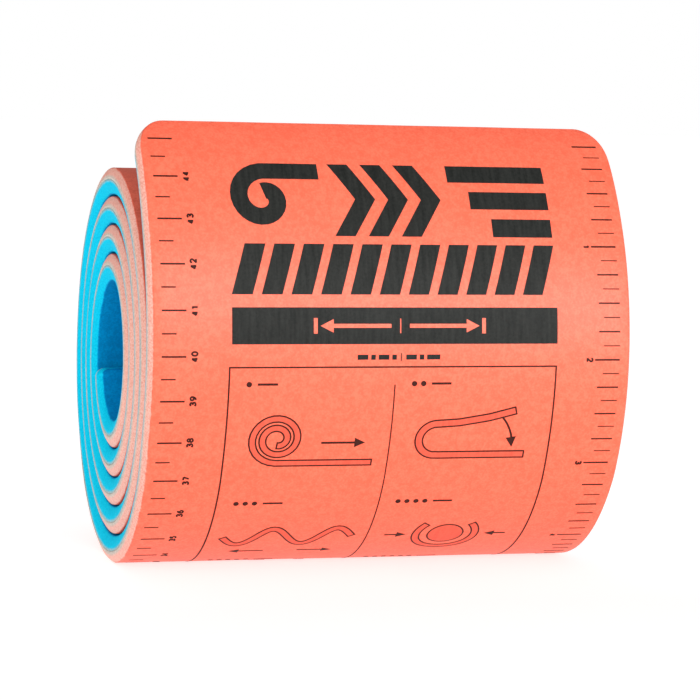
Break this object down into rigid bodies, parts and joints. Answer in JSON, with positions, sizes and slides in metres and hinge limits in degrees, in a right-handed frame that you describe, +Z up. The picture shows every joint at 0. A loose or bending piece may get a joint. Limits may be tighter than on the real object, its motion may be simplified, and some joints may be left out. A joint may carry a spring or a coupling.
{
  "type": "roll splint",
  "caption": "Padded two-layer foam splint strip wound into a roll, with a printed outer face and its free end standing off the roll.",
  "frame": {"origin": "middle of the part's box, on the surface that the roll rests on", "axes": "+X along the roll's axis, -Y towards the side where the free end rises, +Z up"},
  "size_m": [0.1124, 0.0992, 0.1025],
  "materials": {
    "outer_foam": "matte closed-cell foam, coral, with a fine felt-like skin and dark printing",
    "inner_foam": "matte closed-cell foam, bright blue",
    "print": "thin dark screen-printed ink, satin"
  },
  "bodies": {
    "root": {"outer_foam": "outer_foam", "inner_foam": "inner_foam"}
  },
  "joints": []
}
